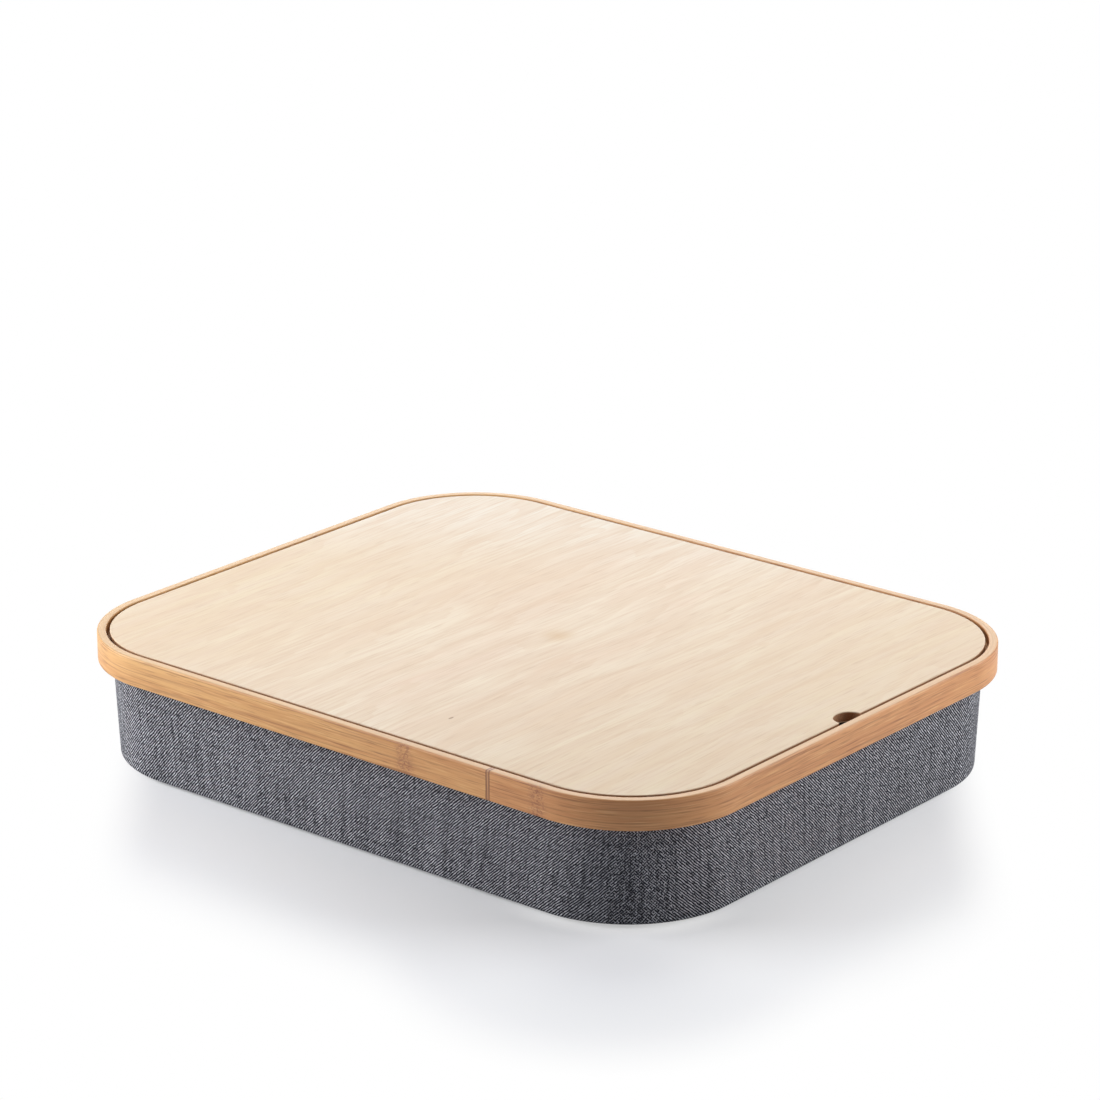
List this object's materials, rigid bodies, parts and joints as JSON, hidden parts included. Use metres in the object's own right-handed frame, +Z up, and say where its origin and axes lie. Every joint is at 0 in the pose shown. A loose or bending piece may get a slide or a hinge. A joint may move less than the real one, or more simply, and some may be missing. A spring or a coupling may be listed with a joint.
{
  "type": "lap desk",
  "caption": "Lap desk: a shallow fabric-covered storage box with rounded corners, a bent bamboo rim and a flush lift-out wooden lid with a finger notch.",
  "frame": {"origin": "on the surface that the desk stands on, under the middle of the desk", "axes": "+X along the long side towards the lid's finger notch, -Y faces the user, +Z up"},
  "size_m": [0.46, 0.38, 0.08],
  "materials": {
    "bamboo": "clear satin lacquer on bent bamboo strip",
    "bamboo_key": "clear satin lacquer on cross-grain bamboo",
    "lid_board": "brown fibre board, cut edge sealed",
    "pale_veneer": "pale wood veneer, matt clear lacquer",
    "wall_board": "thin fibre board, hidden",
    "base_board": "fibre board, hidden",
    "grey_twill": "grey heather twill of light and dark yarns",
    "card": "grey card, hidden",
    "lining": "plain dark grey lining cloth",
    "felt": "black needle felt",
    "steel": "zinc-plated steel, hidden"
  },
  "bodies": {
    "box": {"rim_hoop": "bamboo", "rim_key": "bamboo_key", "base_board": "base_board", "outer_cover": "grey_twill", "wall_liner_card": "card", "wall_liner_cloth": "lining", "floor_card": "card", "floor_cloth": "lining", "base_felt": "felt", "rim_ledge_front": "bamboo", "rim_ledge_right": "bamboo", "rim_ledge_back": "bamboo", "rim_ledge_left": "bamboo", "rim_ledge_front_right": "bamboo", "rim_ledge_back_right": "bamboo", "rim_ledge_back_left": "bamboo", "rim_ledge_front_left": "bamboo", "wall_front": "wall_board", "wall_right": "wall_board", "wall_back": "wall_board", "wall_left": "wall_board", "wall_front_right": "wall_board", "wall_back_right": "wall_board", "wall_back_left": "wall_board", "wall_front_left": "wall_board", "rim_screw_1": "steel", "rim_screw_2": "steel", "rim_screw_3": "steel", "rim_screw_4": "steel", "rim_screw_5": "steel", "rim_screw_6": "steel", "rim_screw_7": "steel", "rim_screw_8": "steel", "rim_screw_9": "steel", "rim_screw_10": "steel", "base_brad_1": "steel", "base_brad_2": "steel", "base_brad_3": "steel", "base_brad_4": "steel", "base_brad_5": "steel", "base_brad_6": "steel", "base_brad_7": "steel", "base_brad_8": "steel", "base_brad_9": "steel", "base_brad_10": "steel", "base_brad_11": "steel", "base_brad_12": "steel", "base_brad_13": "steel", "base_brad_14": "steel", "base_brad_15": "steel", "base_brad_16": "steel"},
    "lid": {"lid_core": "lid_board", "lid_face_veneer": "pale_veneer", "lid_back_veneer": "pale_veneer"}
  },
  "joints": [
    {"name": "lid_lift", "type": "slide", "parent": "box", "child": "lid", "axis": [0, 0, 1], "range_m": [0, 0.15]}
  ]
}
